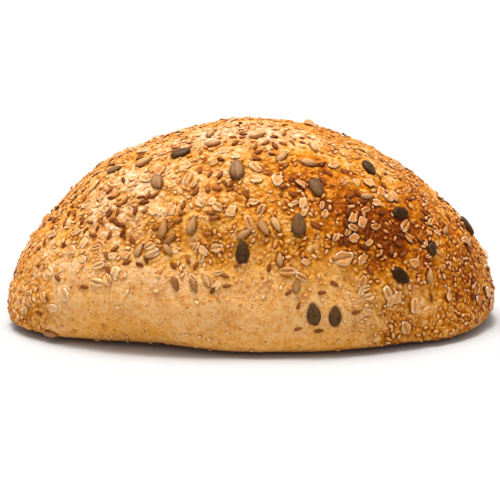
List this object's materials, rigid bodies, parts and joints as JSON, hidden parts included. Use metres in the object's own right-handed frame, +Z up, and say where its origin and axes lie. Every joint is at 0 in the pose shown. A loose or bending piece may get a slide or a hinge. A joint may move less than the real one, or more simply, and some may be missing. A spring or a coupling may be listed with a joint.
{
  "type": "wholegrain loaf",
  "caption": "Whole uncut oval wholegrain loaf with a domed, seed-strewn crust, a pale band along its lower sides and a flat foot that it rests on.",
  "frame": {"origin": "middle of the flat foot that the loaf rests on", "axes": "+X along the loaf's length, -Y out of its pictured front, +Z up"},
  "size_m": [0.259, 0.1663, 0.1071],
  "materials": {
    "crust": "baked crust, golden tan, satin, fine pores and blisters, browner on the front right",
    "pumpkin_seed": "dark olive brown, toasted, satin",
    "sunflower_kernel": "greyish tan, toasted, satin",
    "oat_flake": "cream, matt, ribbed",
    "linseed": "reddish brown, smooth, slight gloss",
    "sesame_seed": "toasted golden, satin"
  },
  "bodies": {
    "root": {"loaf": "crust"}
  },
  "joints": []
}
